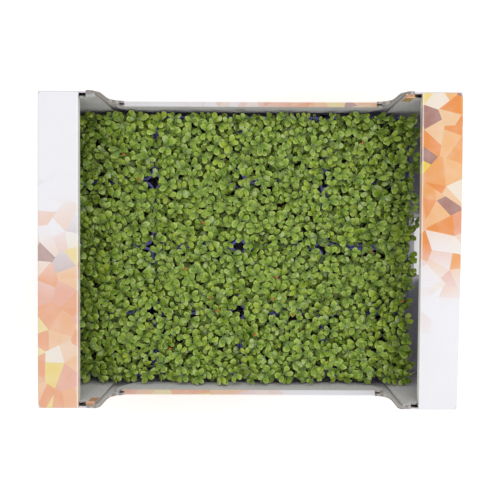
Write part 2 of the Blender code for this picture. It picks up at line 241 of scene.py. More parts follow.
# Painted light: the tucked strips' faces below their tops are the same board, painted paler as if
# lit brighter.
TUCK_PAINTED_LIGHT = (0.60, 0.59, 0.60, 1)
TUCK_ORANGE = (0.50, 0.17, 0.025, 1)
TUCK_COVER = 0.85
TUCK_COVER_LOSS = 0.28
TUCK_BAND_X = (0.1440, 0.1574)
TUCK_BAND_Y = (0.1385, 0.1472)
TUCK_TOP_Z = (TUCK_TOP - 0.0006, TUCK_TOP + 0.0006)
TUCK_BARE_FROM = TUCK_INNER + 0.0022
FACET_PALETTE = [
    (0.00, (0.72, 0.240, 0.040, 1)),
    (0.22, (0.76, 0.41, 0.17, 1)),
    (0.46, (0.74, 0.54, 0.055, 1)),
    (0.51, (0.75, 0.59, 0.19, 1)),
    (0.57, (0.75, 0.48, 0.27, 1)),
    (0.68, (0.74, 0.32, 0.095, 1)),
    (0.80, (0.70, 0.29, 0.155, 1)),
    (0.87, (0.34, 0.155, 0.12, 1)),
    (0.955, (0.76, 0.66, 0.54, 1)),
]


def facet_cells(graph, x, y, z):
    """The sheet's mosaic: uneven cells, each cut into wedges. Gives two draws for each wedge."""
    down = graph.math("MULTIPLY", z, FOLD_SHEAR)
    across = graph.math("SUBTRACT", x, down)
    along = graph.math("SUBTRACT", y, down)
    sheet = graph.add("ShaderNodeCombineXYZ", {0: across, 1: along}).outputs[0]
    cells = graph.add(
        "ShaderNodeTexVoronoi", {"Vector": sheet, "Scale": CELLS_PER_METRE}, voronoi_dimensions="2D"
    ).outputs
    draw = graph.add("ShaderNodeSeparateColor", {0: cells["Color"]}).outputs
    from_middle = {0: sheet, 1: cells["Position"]}
    offset = graph.add("ShaderNodeVectorMath", from_middle, operation="SUBTRACT").outputs[0]
    offset = graph.axes(offset)
    angle = graph.math("MULTIPLY", graph.math("ARCTAN2", offset[1], offset[0]), 0.5 / math.pi)
    turn = graph.math("FRACT", graph.math("ADD", angle, draw[1]))
    wedge = graph.math("FLOOR", graph.math("MULTIPLY", turn, FACETS_PER_CELL))
    draws = []
    for start, step in zip((draw[0], draw[2]), WEDGE_STEPS):
        moved = graph.math("ADD", start, graph.math("MULTIPLY", wedge, step))
        draws.append(graph.math("FRACT", moved))
    return draws


def ink_share(graph, x, y, strength):
    """How far the print covers the paper: most near two opposite corners, and scattered."""
    product = graph.math("MULTIPLY", x, y)
    warmth = graph.math("MULTIPLY", product, 1.0 / (HALF_LENGTH * HALF_WIDTH))
    warmth = graph.math("ADD", warmth, MIDDLE_WARMTH)
    scatter = graph.math("MULTIPLY", graph.math("SUBTRACT", strength, 0.5), WARMTH_SCATTER)
    warmth = graph.math("ADD", warmth, scatter)
    inked = graph.grey_ramp(warmth, [(0.0, 0.0), (0.16, 0.16), (0.46, 1.0)])
    depth = graph.math("ADD", graph.math("MULTIPLY", x, INK_GAIN / HALF_LENGTH), MIDDLE_INK)
    return graph.math("MULTIPLY", inked, depth)


def between(graph, value, low, high):
    """One between two values, and nought outside them."""
    over = graph.math("GREATER_THAN", value, low)
    return graph.math("MULTIPLY", over, graph.math("LESS_THAN", value, high))


def overlap(graph, first, *others):
    """One where every mask is one."""
    for other in others:
        first = graph.math("MULTIPLY", first, other)
    return first


def bare_and_highlight_mask(graph, far_x, far_y, z):
    """Where the print gives way to near-white: unprinted paper on the outer part of each tucked
    strip's top, and a painted highlight along the lips' feet.

    far_x and far_y, here and below, are distances from the carton's middle.
    """
    tuck_top = between(graph, z, *TUCK_TOP_Z)
    tuck_far = graph.math("GREATER_THAN", far_y, TUCK_BARE_FROM)
    # Painted highlight along the lips' feet.
    lip_highlight = overlap(
        graph,
        between(graph, far_x, *LIP_HIGHLIGHT_X),
        graph.math("LESS_THAN", far_y, LIP_HIGHLIGHT_END),
        between(graph, z, *LIP_HIGHLIGHT_Z),
    )
    return graph.math("ADD", overlap(graph, tuck_top, tuck_far), lip_highlight)


def strip_shade_mask(graph, far_x, far_y, z):
    """Painted shade: the darker strip along the fold on top of each low side."""
    return overlap(
        graph,
        between(graph, z, *STRIP_SHADE_BAND_Z),
        graph.math("GREATER_THAN", far_y, TUCK_INNER),
        graph.math("LESS_THAN", far_x, STRIP_SHADE_HALF_LENGTH),
    )


def tuck_mask(graph, far_x, far_y, z):
    """The strips that are tucked in behind the tabs."""
    return overlap(
        graph,
        between(graph, far_x, *TUCK_BAND_X),
        between(graph, far_y, *TUCK_BAND_Y),
        graph.math("GREATER_THAN", z, TUCK_FOOT - BELOW_FOOT),
    )


def printed_board_material(name, highlight_share):
    """Coated board with its print. The second argument is how far the print is lightened towards a
    painted highlight.
    """
    graph = Graph(name, 0.42)
    x, y, z = graph.axes(graph.place())
    far_x, far_y = graph.math("ABSOLUTE", x), graph.math("ABSOLUTE", y)
    pick, strength = facet_cells(graph, x, y, z)
    inked = ink_share(graph, x, y, strength)
    colour = graph.mix(inked, PAPER, graph.ramp(pick, FACET_PALETTE, "CONSTANT"))
    clouds = graph.noise(70.0, 3.0)
    colour = graph.speckle(colour, clouds, [(0.4, 0.0), (0.8, 0.16)], CLOUDED_PAPER)
    # Unprinted paper on the tucks, and a painted highlight along the lips' feet.
    bare_and_lit = graph.math("MULTIPLY", bare_and_highlight_mask(graph, far_x, far_y, z), BARE_AND_HIGHLIGHT_SHARE)
    colour = graph.mix(bare_and_lit, colour, BARE_PAPER_AND_HIGHLIGHT)
    # Painted shade on the low sides' top folds.
    strip_shade = graph.math("MULTIPLY", strip_shade_mask(graph, far_x, far_y, z), STRIP_SHADE_SHARE)
    colour = graph.mix(strip_shade, colour, STRIP_SHADE)
    # Painted highlight on the rounded folds.
    colour = graph.mix(highlight_share, colour, FOLD_HIGHLIGHT_PAPER)
    # Below their tops the tucked strips get the paler grey, which is painted light.
    below = graph.math("LESS_THAN", z, TUCK_TOP_Z[0])
    tuck_tone = graph.mix(inked, graph.mix(below, TUCK_GREY, TUCK_PAINTED_LIGHT), TUCK_ORANGE)
    cover = graph.math("SUBTRACT", TUCK_COVER, graph.math("MULTIPLY", inked, TUCK_COVER_LOSS))
    cover = graph.math("MULTIPLY", tuck_mask(graph, far_x, far_y, z), cover)
    colour = graph.mix(cover, colour, tuck_tone)
    flutes = graph.bump(flute_wave(graph, 1), 0.00005, 0.35)
    return graph.drive(
        Base_Color=colour,
        Roughness=graph.grey_ramp(clouds, [(0.3, 0.38), (0.7, 0.52)]),
        Normal=graph.bump(graph.noise(900.0, 2.0), 0.00004, 0.4, flutes),
    )


def cup_material():
    """Thin coloured plastic, with pale streaks all over that are painted highlights."""
    graph = Graph("cup_plastic", 0.34)
    clouds = graph.noise(45.0, 3.0)
    tone = graph.ramp(clouds, [(0.3, (0.085, 0.088, 0.34, 1)), (0.75, (0.14, 0.145, 0.46, 1))])
    # Painted highlights: pale streaks that stand for the light rims.
    highlight_streaks = graph.noise(1.0, 4.0, graph.stretched((260, 260, 900)))
    colour = graph.speckle(tone, highlight_streaks, [(0.52, 0.0), (0.72, 0.5)], (0.36, 0.37, 0.62, 1))
    grain = graph.noise(1500.0, 2.0)
    return graph.drive(
        Base_Color=colour,
        Roughness=graph.grey_ramp(clouds, [(0.3, 0.28), (0.7, 0.42)]),
        Normal=graph.bump(grain, 0.00006, 0.4),
    )


def pad_material():
    """Damp brown fibre, in strands and darker clumps."""
    graph = Graph("growing_fibre", 0.95)
    strands = graph.noise(1.0, 6.0, graph.stretched((420, 1100, 700)))
    clumps = graph.noise(240.0, 4.0)
    tone = graph.ramp(strands, [(0.3, (0.07, 0.045, 0.025, 1)), (0.65, (0.27, 0.19, 0.11, 1))])
    colour = graph.speckle(tone, clumps, [(0.4, 0.0), (0.7, 0.6)], (0.12, 0.085, 0.05, 1))
    return graph.drive(Base_Color=colour, Normal=graph.bump(strands, 0.0012, 0.9))


def leaf_material():
    """Leaf colour by tint, place across and along the blade, and nearness to its margin: painted
    shade in the midrib's crease and at the stalk, a paler margin that is partly painted highlight,
    and patches of painted sheen.
    """
    graph = Graph("cress_leaf", 0.42)
    graph.shader.inputs["Specular IOR Level"].default_value = 0.45
    marks = graph.add("ShaderNodeAttribute", attribute_name="leaf_marks").outputs["Vector"]
    tint, across, margin = graph.axes(marks)
    along = graph.add("ShaderNodeAttribute", attribute_name="leaf_along").outputs["Fac"]
    green = graph.ramp(tint, [
        (0.00, (0.095, 0.185, 0.012, 1)),
        (0.30, (0.145, 0.253, 0.014, 1)),
        (0.65, (0.203, 0.320, 0.020, 1)),
        (0.90, (0.305, 0.390, 0.012, 1)),
    ])
    mottle = graph.noise(620.0, 3.0)
    patches = graph.noise(150.0, 2.0)
    # Patches for a painted sheen of pale grey-green highlights.
    painted_sheen = graph.noise(115.0, 2.0)
    for source, stops, over in (
        (mottle, [(0.50, 0.0), (0.72, 0.75)], (0.33, 0.45, 0.02, 1)),
        (mottle, [(0.30, 0.65), (0.48, 0.0)], (0.085, 0.165, 0.008, 1)),
        (patches, [(0.5, 0.0), (0.72, 0.5)], (0.23, 0.34, 0.008, 1)),
        # Painted sheen: pale grey-green highlights in patches.
        (painted_sheen, [(0.57, 0.0), (0.72, 0.85)], (0.38, 0.45, 0.26, 1)),
        # Painted shade in the crease along the midrib.
        (across, [(0.0, 0.75), (0.10, 0.35), (0.22, 0.0)], (0.10, 0.19, 0.008, 1)),
        # Paler yellow-green near the margin: partly the leaf's own margin colour, partly a painted
        # highlight.
        (margin, [(0.64, 0.0), (0.97, 0.85)], (0.40, 0.51, 0.11, 1)),
        # Painted shade where the pair of leaves meets at the stalk.
        (along, [(0.0, 0.95), (0.18, 0.6), (0.50, 0.0)], (0.055, 0.11, 0.007, 1)),
    ):
        green = graph.speckle(green, source, stops, over)
    fine = graph.noise(1600.0, 2.0)
    ribs = graph.bump(graph.grey_ramp(across, [(0.0, 0.0), (0.16, 1.0)]), 0.0003, 0.7)
    return graph.drive(
        Base_Color=green,
        Roughness=graph.grey_ramp(mottle, [(0.3, 0.26), (0.7, 0.44)]),
        Normal=graph.bump(fine, 0.00008, 0.5, ribs),
    )


# Stems are palest under the first height, and greenest over the second.
PALE_BELOW = 0.030
GREEN_ABOVE = 0.058


def stem_material():
    """Pale stems with faint strands, greener towards the leaves."""
    graph = Graph("cress_stem", 0.5)
    height = graph.axes(graph.place())[2]
    strands = graph.noise(1.0, 3.0, graph.stretched((1200, 1200, 120)))
    low = graph.ramp(strands, [(0.3, (0.52, 0.56, 0.36, 1)), (0.7, (0.68, 0.70, 0.52, 1))])
    rise = graph.add("ShaderNodeMapRange", {0: height, 1: PALE_BELOW, 2: GREEN_ABOVE}).outputs[0]
    colour = graph.mix(rise, low, (0.26, 0.36, 0.07, 1))
    return graph.drive(Base_Color=colour, Normal=graph.bump(strands, 0.0002, 0.5))


def seed_coat_material():
    """Thin reddish brown skin."""
    graph = Graph("seed_coat", 0.6)
    clouds = graph.noise(900.0, 3.0)
    colour = graph.ramp(clouds, [(0.3, (0.30, 0.045, 0.015, 1)), (0.7, (0.62, 0.16, 0.05, 1))])
    return graph.drive(Base_Color=colour, Normal=graph.bump(clouds, 0.0002, 0.6))


# The carton


# The places of the carton's materials on its mesh. The last is printed board with a painted
# highlight, for the rounded folds.
GREY, PRINT, CUT, FOLD_HIGHLIGHT = 0, 1, 2, 3
FOLD_ROUNDING = 0.0011
SHOULDER_ROUNDING = 0.0030
CUT_ROUNDING = 0.0003
LONGEST_FACE = 0.025
FLAT = 0.9
FOLD_ANGLE = math.radians(35)
CUT_ANGLE = math.radians(50)
# How far this one used carton has bent, and where each bend starts.
RIGHT_END_LEAN = 0.0034
RIGHT_END_FROM = 0.13
WALL_BOW = 0.0002
LEDGE_GROWTH = 0.0022
LIP_TUCK = 0.0016
TAB_X = (0.1445, 0.1576)
TAB_LEAN = {1: 0.0010, -1: 0.0030}
TAB_NARROWING = 0.0034
TAB_NARROWS_FROM = 0.1502
TAB_NARROWS_OVER = 0.0040
# How far the painted highlight on the folds covers the print.
FOLD_HIGHLIGHT_SHARE = 0.55


def near(value, target):
    return abs(value - target) < FACE_TOLERANCE


def board_face_kind(normal, centre):
    """Whether a face of the carton is grey inner board, printed outer board or a cut edge."""
    x, y, z = abs(centre.x), abs(centre.y), centre.z
    faces_x, faces_y, faces_z = (abs(part) > FLAT for part in normal)
    up = normal.z > 0.5
    printed = (
        (faces_x and near(x, HALF_LENGTH))
        or (faces_y and near(y, HALF_WIDTH))
        or (up and near(z, LEDGE_TOP) and x > LEDGE_INNER - BOARD)
        or (faces_x and normal.x * centre.x < 0 and near(x, LEDGE_INNER))
        or (up and near(z, SIDE_TOP))
        or (faces_y and normal.y * centre.y < 0 and near(y, TUCK_INNER) and z > TUCK_FOOT)
        or (up and near(z, TUCK_TOP) and y < HALF_WIDTH - BOARD + FACE_TOLERANCE)
    )
    if printed:
        return PRINT
    outer, inner = HALF_WIDTH - BOARD + FACE_TOLERANCE, HALF_WIDTH - 2 * BOARD - FACE_TOLERANCE
    grey = (
        (faces_z and z < BOARD + FACE_TOLERANCE)
        or (faces_x and near(x, HALF_LENGTH - BOARD))
        or (faces_y and inner < y < outer)
        or (faces_z and near(z, LEDGE_TOP - BOARD) and x > LEDGE_INNER)
    )
    return GREY if grey else CUT


def is_shoulder(point):
    return near(abs(point.x), HALF_LENGTH) and near(point.z, LEDGE_TOP)


def cut_across(work, axis, level):
    """Adds edges where the faces cross a plane, and takes nothing away."""
    point, normal = Vector((0, 0, 0)), Vector((0, 0, 0))
    point[axis], normal[axis] = level, 1.0
    parts = work.verts[:] + work.edges[:] + work.faces[:]
    bmesh.ops.bisect_plane(work, geom=parts, plane_co=point, plane_no=normal, dist=1e-6)


def split_long_faces(work):
    """Cuts the carton's faces into short ones, so that they can bow."""
    for axis, half in ((0, HALF_LENGTH), (1, HALF_WIDTH)):
        cuts = int(2 * half / LONGEST_FACE)
        for index in range(1, cuts):
            cut_across(work, axis, -half + index * 2 * half / cuts)


def round_edges(work, edges, offset, segments, material=-1):
    bmesh.ops.bevel(
        work, geom=edges, offset=offset, segments=segments, profile=0.5, affect="EDGES",
        clamp_overlap=True, material=material,
    )


def settle(point):
    """Board is never straight: lips fold back under, an end and the tabs lean in, sides bow."""
    in_lip = LEDGE_INNER - FACE_TOLERANCE < abs(point.x) < LEDGE_INNER + BOARD + FACE_TOLERANCE
    if in_lip and point.z > LIP_FOOT - BELOW_FOOT:
        level = min(1.0, (point.z - LIP_FOOT) / (LEDGE_TOP - BOARD - LIP_FOOT))
        point.x -= math.copysign(LEDGE_GROWTH * level - LIP_TUCK * (1 - level), point.x)
    height = point.z / LEDGE_TOP
    to_right = max(0.0, point.x - RIGHT_END_FROM) / (HALF_LENGTH - RIGHT_END_FROM)
    to_front = 0.5 - point.y / (2 * HALF_WIDTH)
    point.x -= RIGHT_END_LEAN * height * to_right * to_front ** 2
    if TAB_X[0] < abs(point.x) < TAB_X[1] and abs(point.y) > TUCK_INNER - FACE_TOLERANCE:
        side = math.copysign(1, point.y)
        rise = max(0.0, point.z - LEDGE_TOP + BOARD) / (TAB_RISE + BOARD)
        point.y -= side * TAB_LEAN[side] * rise
        if point.z > TUCK_FOOT - BELOW_FOOT:
            to_slot = max(0.0, (abs(point.x) - TAB_NARROWS_FROM) / TAB_NARROWS_OVER)
            point.x -= math.copysign(TAB_NARROWING * min(1.0, to_slot), point.x)
    middle = 1.0 - (point.x / HALF_LENGTH) ** 2
    side = point.y / HALF_WIDTH
    point.y -= WALL_BOW * height * max(0.0, middle) * side ** 3
    return point


def sharp_edges(work, angle):
    return [edge for edge in work.edges if edge.is_manifold and edge.calc_face_angle() > angle]


def build_carton():
    """The carton's own faces, coloured by kind, rounded at folds and cuts, and settled."""
    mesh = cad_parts["carton"].data.copy()
    mesh.materials.clear()
    if mesh.has_custom_normals:
        mesh.attributes.remove(mesh.attributes["custom_normal"])
    work = bmesh.new()
    work.from_mesh(mesh)
    bmesh.ops.remove_doubles(work, verts=work.verts[:], dist=1e-5)
    bmesh.ops.dissolve_limit(
        work, angle_limit=math.radians(1), verts=work.verts[:], edges=work.edges[:]
    )
    bmesh.ops.recalc_face_normals(work, faces=work.faces[:])
    for face in work.faces:
        face.material_index = board_face_kind(face.normal, face.calc_center_median())
    split_long_faces(work)
    shoulders = [edge for edge in work.edges if all(is_shoulder(v.co) for v in edge.verts)]
    round_edges(work, shoulders, SHOULDER_ROUNDING, 4)
    folds = [
        edge for edge in sharp_edges(work, FOLD_ANGLE)
        if all(face.material_index == PRINT for face in edge.link_faces)
    ]
    # The rounded folds get the printed board with a painted highlight.
    round_edges(work, folds, FOLD_ROUNDING, 3, FOLD_HIGHLIGHT)
    round_edges(work, sharp_edges(work, CUT_ANGLE), CUT_ROUNDING, 1)
    cut_across(work, 2, LEDGE_TOP - BOARD)
    for vertex in work.verts:
        vertex.co = settle(vertex.co)
    bmesh.ops.triangulate(work, faces=[face for face in work.faces if len(face.verts) > 4])
    work.to_mesh(mesh)
    work.free()
    smooth(mesh, 40)
    for edge in mesh.edges:
        if all(near(mesh.vertices[index].co.z, LEDGE_TOP - BOARD) for index in edge.vertices):
            edge.use_edge_sharp = True
    materials = [
        grey_board_material(),
        printed_board_material("printed_board", 0.0),
        cut_board_material(),
        # Printed board with a painted highlight, for the rounded folds.
        printed_board_material("painted_fold_highlight", FOLD_HIGHLIGHT_SHARE),
    ]
    place(add_object("carton_board", mesh, materials), "grey_board", "carton")


# Cups and pads


CORNER_STEPS = 5
CUP_WALL = 0.001
CUP_RIM = 0.0022
CUP_RIM_HEIGHT = 0.0016
CUP_TAPER = 0.0045
CUP_RADIUS = 0.011
WALL_SHARES = (0.1, 0.5, 0.9)
FOOT_SHARE = 0.02
PAD_RADIUS = 0.010
PAD_FOOT_INSET = 0.001
# Shares of the pad's height, with the inset of its side there.
PAD_SIDE = [(0.35, 0.0003), (0.8, 0.0), (1.0, 0.0015)]
PAD_TOP_INSETS = (0.009, 0.018, 0.026)
PAD_TOP_RADIUS = 0.0015
PAD_LUMPS = 0.0012


def rounded_ring(middle, half_x, half_y, radius, z):
    """Points round a rectangle with round corners, anticlockwise from above."""
    points = []
    for quarter, (sx, sy) in enumerate(((1, -1), (1, 1), (-1, 1), (-1, -1))):
        centre_x = middle[0] + sx * (half_x - radius)
        centre_y = middle[1] + sy * (half_y - radius)
        for step in range(CORNER_STEPS + 1):
            angle = math.pi / 2 * (quarter - 1 + step / CORNER_STEPS)
            round_x, round_y = radius * math.cos(angle), radius * math.sin(angle)
            points.append((centre_x + round_x, centre_y + round_y, z))
    return points


def ring_loft(name, rings):
    """A skin over rings of as many points each, closed over the first ring and the last."""
    count = len(rings[0])
    points = [point for ring in rings for point in ring]
    faces = []
    for level in range(len(rings) - 1):
        low, high = level * count, (level + 1) * count
        for index in range(count):
            after = (index + 1) % count
            faces.append((low + index, low + after, high + after, high + index))
    last = (len(rings) - 1) * count
    faces.append(tuple(reversed(range(count))))
    faces.append(tuple(range(last, last + count)))
    mesh = bpy.data.meshes.new(name)
    mesh.from_pydata(points, [], faces)
    return mesh


def build_cup(node, material):
    """A thin tapered cup with a rolled rim and a stepped foot, in one skin."""
    low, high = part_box(node)
    middle = ((low.x + high.x) / 2, (low.y + high.y) / 2)
    rim_x, rim_y = (high.x - low.x) / 2, (high.y - low.y) / 2
    height = high.z - low.z

    def ring(share, inset, z):
        narrow = CUP_RIM + CUP_TAPER * (1 - share) + inset
        return rounded_ring(middle, rim_x - narrow, rim_y - narrow, CUP_RADIUS - inset - CUP_RIM, z)

    def wall(inset, shares):
        return [ring(share, inset, foot + share * height) for share in shares]

    foot, top, under_rim = low.z, high.z, high.z - CUP_RIM_HEIGHT
    rings = [ring(0.0, 0.0015, foot), ring(FOOT_SHARE, 0.0003, foot + 0.0008)]
    rings += wall(0.0, WALL_SHARES)
    rings += [ring(1.0, inset, z) for inset, z in (
        (0.0002, under_rim),
        (-CUP_RIM + 0.0003, under_rim),
        (-CUP_RIM, under_rim + 0.0004),
        (-CUP_RIM, top - 0.0005),
        (-CUP_RIM + 0.0005, top),
        (CUP_WALL - 0.0006, top),
        (CUP_WALL, top - 0.0006),
    )]
    rings += wall(CUP_WALL, reversed(WALL_SHARES))
    rings.append(ring(FOOT_SHARE, CUP_WALL + 0.0006, foot + CUP_WALL))
    mesh = ring_loft(node + "_fine", rings)
    smooth(mesh, 50)
    place(add_object(node + "_shell", mesh, [material]), "blue_plastic", node)


def build_pad(node, draw, material):
    """A damp fibre mat with a lumpy top."""
    low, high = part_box(node)
    middle = ((low.x + high.x) / 2, (low.y + high.y) / 2)
    half_x, half_y = (high.x - low.x) / 2, (high.y - low.y) / 2

    def ring(inset, radius, z):
        return rounded_ring(middle, half_x - inset, half_y - inset, radius, z)

    rings = [ring(PAD_FOOT_INSET, PAD_RADIUS, low.z)]
    for share, inset in PAD_SIDE:
        rings.append(ring(inset, PAD_RADIUS, low.z + share * (high.z - low.z)))
    for inset in PAD_TOP_INSETS:
        level = ring(inset, PAD_TOP_RADIUS, high.z)
        rings.append([(x, y, z - draw.uniform(0.0, PAD_LUMPS)) for x, y, z in level])
    mesh = ring_loft(node + "_mat", rings)
    smooth(mesh, 60)
    place(add_object(node + "_mat", mesh, [material]), "growing_fibre", node)


# Seedlings


SEEDLINGS_PER_CUP = 112
# One side of a seed leaf from its stalk to its tip: shares of its length and of half its width.
BLADE_SIDE = [
    (0.04, 0.22), (0.16, 0.52), (0.36, 0.80), (0.58, 0.95),
    (0.77, 1.00), (0.93, 0.88), (1.03, 0.60), (1.01, 0.28),
]
BLADE_TIP = (0.99, 0.0)
BLADE_MIDDLE = (0.42, 0.0)
BLADE_RINGS = 3
BLADE_THICKNESS = 0.0004
BLADE_STALK = 0.0005
TIP_PART = 0.7
NOTCH_WIDTH = 0.20
RAGGEDNESS = 0.040
LOBE_POWER = 0.65
LOBE_GROWTH = (0.35, 0.65)
# Waves round the margin, and the most that each may rise.
RIPPLES = ((3, 0.07), (5, 0.045))
# Drawn evenly between two values.
BLADE_LENGTH = (0.0063, 0.0094)
BLADE_WIDTH = (1.40, 1.68)
SMALLER_BLADE = (0.72, 0.95)
NOTCH_DEPTH = (0.22, 0.46)
LOBE_RISE = (0.12, 0.30)
TIP_DROOP = (0.02, 0.34)
# Drawn round a middle value, with a spread.
BLADE_RISE = (0.18, 0.22)
SIDE_DROOP = (0.06, 0.10)
TINT = (0.45, 0.20)
BLADE_TINT_SPREAD = 0.08
# A seedling's lean, in radians, grows from the cup's middle to its edge.
LEAN_TURN = 0.9
MIDDLE_LEAN = 0.10
EDGE_LEAN = 0.16
LEAN_SPREAD = 0.19
MOST_LEAN = 0.6
LOWEST_LEAF = 0.0500
HIGHEST_LEAF = 0.0632
EDGE_SINK = 0.0020
STEM_RADIUS = 0.00062
STEM_SIDES = 4
STEM_STEPS = 3
STEM_FOOT = 1.25
STEM_TAPER = 0.45
STEM_CURVE = 1.7
STEM_BOW = 0.0012
ROOT_SPREAD = (0.82, 0.80)
ROOT_DEPTH = 0.001
# How far inside its cup's rim a bunch ends. At the right end that runs from front to back, and a
# value under nought lets leaves hang over the rim.
CUP_EDGE_ROOM = 0.0026
BUNCH_SHIFT = 0.0009
OPEN_END_ROOM = (0.0028, -0.0066)
NEAR_WALL = 0.02
BACK_ROOM = 0.0004
FRONT_ROOM = -0.0018
MOUTH_CORNER = 0.0085
WALL_ROOM = 0.0008
PLACE_TRIES = 40
HEIGHT_TRIES = 12
NEIGHBOUR_REACH = 0.013
# A seed coat is a stretched ball, with a split across its top.
SEED_COAT_RADIUS = 0.0011
SEED_COAT_STRETCH = (1.45, 0.65)
SEED_COAT_REST = 0.0003
SPOT_REACH = 0.0024
SPLIT_DEPTH = 0.45
SPLIT_AT = 0.0004
SPLIT_WIDTH = 0.0006
SEED_COAT_SPOTS = [
    (-0.1309, 0.0970), (-0.1150, 0.0717), (-0.0665, -0.0212), (-0.0412, -0.0518),
    (-0.0338, -0.0644), (0.0053, -0.0898), (0.0232, -0.0518), (0.0274, -0.0296),
    (0.0454, -0.0697), (-0.0834, -0.1056), (0.1277, -0.0032), (0.1600, -0.0549),
    (-0.0485, 0.0263), (0.1150, 0.1088),
]


def blade_sheet():
    """One seed leaf's outline, one long and two wide, and the faces of its rings."""
    low = [(x, -y) for x, y in BLADE_SIDE]
    high = [(x, y) for x, y in reversed(BLADE_SIDE)]
    outline = np.array([(0.0, 0.0)] + low + [BLADE_TIP] + high)
    count = len(outline)
    faces = []
    for index in range(count):
        after = (index + 1) % count
        faces.append((0, 1 + index, 1 + after))
        for ring in range(BLADE_RINGS - 1):
            inner = 1 + ring * count
            outer = inner + count
            faces.append((inner + index, outer + index, outer + after, inner + after))
    return outline, faces


def blade_shape(draw, outline, length, width):
    """One seed leaf: a notched heart with two raised lobes. Gives its points and their places."""
    edge = outline.copy()
    tip = edge[:, 0] > TIP_PART
    edge[tip, 0] -= draw.uniform(*NOTCH_DEPTH) * np.exp(-(edge[tip, 1] / NOTCH_WIDTH) ** 2)
    edge += draw.normal(0, RAGGEDNESS, edge.shape)
    edge[0] = (0.0, 0.0)
    middle = np.array(BLADE_MIDDLE)
    sheet, shares = [middle], [0.0]
    for ring in range(1, BLADE_RINGS + 1):
        share = ring / BLADE_RINGS
        sheet += list(middle + share * (edge - middle))
        shares += [share] * len(edge)
    sheet, shares = np.array(sheet), np.array(shares)
    along, side = sheet[:, 0], np.abs(sheet[:, 1])
    lobes = draw.uniform(*LOBE_RISE) * np.sin(math.pi * np.clip(side, 0, 1) ** LOBE_POWER)
    lobes = lobes * (LOBE_GROWTH[0] + LOBE_GROWTH[1] * along)
    height = draw.normal(*BLADE_RISE) * along + lobes
    height -= draw.uniform(*TIP_DROOP) * along ** 2 + draw.normal(*SIDE_DROOP) * side ** 2
    turn = np.arctan2(sheet[:, 1], along - BLADE_MIDDLE[0])
    for waves, most in RIPPLES:
        ripple = draw.uniform(0.0, most) * shares ** 2
        height += ripple * np.sin(waves * turn + draw.uniform(0, 2 * math.pi))
    ahead, aside = length * along + BLADE_STALK, width / 2 * sheet[:, 1]
    return np.stack([ahead, aside, length * height], axis=1), along, side, shares


def closed_blade(points, faces, rim):
    """Top and underside of a blade, joined round its edge of that many points."""
    count = len(points)
    under = points.copy()
    under[:, 2] -= BLADE_THICKNESS
    solid = list(faces) + [tuple(count + index for index in reversed(face)) for face in faces]
    first = count - rim
    for index in range(rim):
        here = first + index
        after = first + (index + 1) % rim
        solid.append((after, here, count + here, count + after))
    return np.concatenate([points, under]), solid


def turn_matrix(heading, lean, lean_heading):
    """A turn about +Z, then a lean of the whole seedling towards a heading."""
    cos_h, sin_h = math.cos(heading), math.sin(heading)
    spin = np.array([[cos_h, -sin_h, 0], [sin_h, cos_h, 0], [0, 0, 1]])
    axis = np.array([-math.sin(lean_heading), math.cos(lean_heading), 0.0])
    cross = np.array([[0, -axis[2], axis[1]], [axis[2], 0, -axis[0]], [-axis[1], axis[0], 0]])
    tip = np.eye(3) + math.sin(lean) * cross + (1 - math.cos(lean)) * cross @ cross
    return tip @ spin


def stem_tube(root, top, bow):
    """A slim tube from the pad to the leaves, bowed to one side."""
    points = []
    for step in range(STEM_STEPS + 1):
        share = step / STEM_STEPS
        sideways = share ** STEM_CURVE
        centre = np.array([
            root[0] + (top[0] - root[0]) * sideways,
            root[1] + (top[1] - root[1]) * sideways,
            root[2] + (top[2] - root[2]) * share,
        ]) + bow * math.sin(math.pi * share)
        radius = STEM_RADIUS * (STEM_FOOT - STEM_TAPER * share)
        for index in range(STEM_SIDES):
            angle = 2 * math.pi * index / STEM_SIDES
            points.append(centre + radius * np.array([math.cos(angle), math.sin(angle), 0.0]))
    faces = [tuple(reversed(range(STEM_SIDES)))]
    for step in range(STEM_STEPS):
        low, high = step * STEM_SIDES, (step + 1) * STEM_SIDES
        for index in range(STEM_SIDES):
            after = (index + 1) % STEM_SIDES
            faces.append((low + index, low + after, high + after, high + index))
    last = STEM_STEPS * STEM_SIDES
    faces.append(tuple(range(last, last + STEM_SIDES)))
    return np.array(points), faces


class Bunch:
    """Gathers the points, faces and leaf marks of one cup's seedlings."""

    def __init__(self):
        self.points, self.marks, self.faces, self.materials, self.count = [], [], [], [], 0

    def add(self, points, faces, marks, material):
        self.faces += [tuple(self.count + index for index in face) for face in faces]
        self.materials += [material] * len(faces)
        self.points.append(points)
        self.marks.append(marks)
        self.count += len(points)

    def mesh(self, name):
        mesh = bpy.data.meshes.new(name)
        mesh.from_pydata(np.concatenate(self.points).tolist(), [], self.faces)
        marks = np.concatenate(self.marks).astype(np.float32)
        layer = mesh.attributes.new("leaf_marks", "FLOAT_VECTOR", "POINT")
        layer.data.foreach_set("vector", marks[:, :3].ravel())
        layer = mesh.attributes.new("leaf_along", "FLOAT", "POINT")
        layer.data.foreach_set("value", np.ascontiguousarray(marks[:, 3]))
        mesh.polygons.foreach_set("material_index", self.materials)
        smooth(mesh, 60)
        return mesh


def mouth_places(draw, low, high, count):
    """Places that fill a cup's mouth evenly but without rows, and keep out of its round corners."""
    middle, half = (low + high) / 2, (high - low) / 2
    places = np.empty((0, 2))
    while len(places) < count:
        tries = draw.uniform(low, high, (PLACE_TRIES, 2))
        past = np.maximum(np.abs(tries - middle) - (half - MOUTH_CORNER), 0)
        tries = tries[np.linalg.norm(past, axis=1) < MOUTH_CORNER]
        if len(places):
            gaps = np.linalg.norm(tries[:, None] - places[None], axis=2).min(axis=1)
            best = tries[int(gaps.argmax())]
        else:
            best = tries[0]
        places = np.vstack([places, best])
    return places


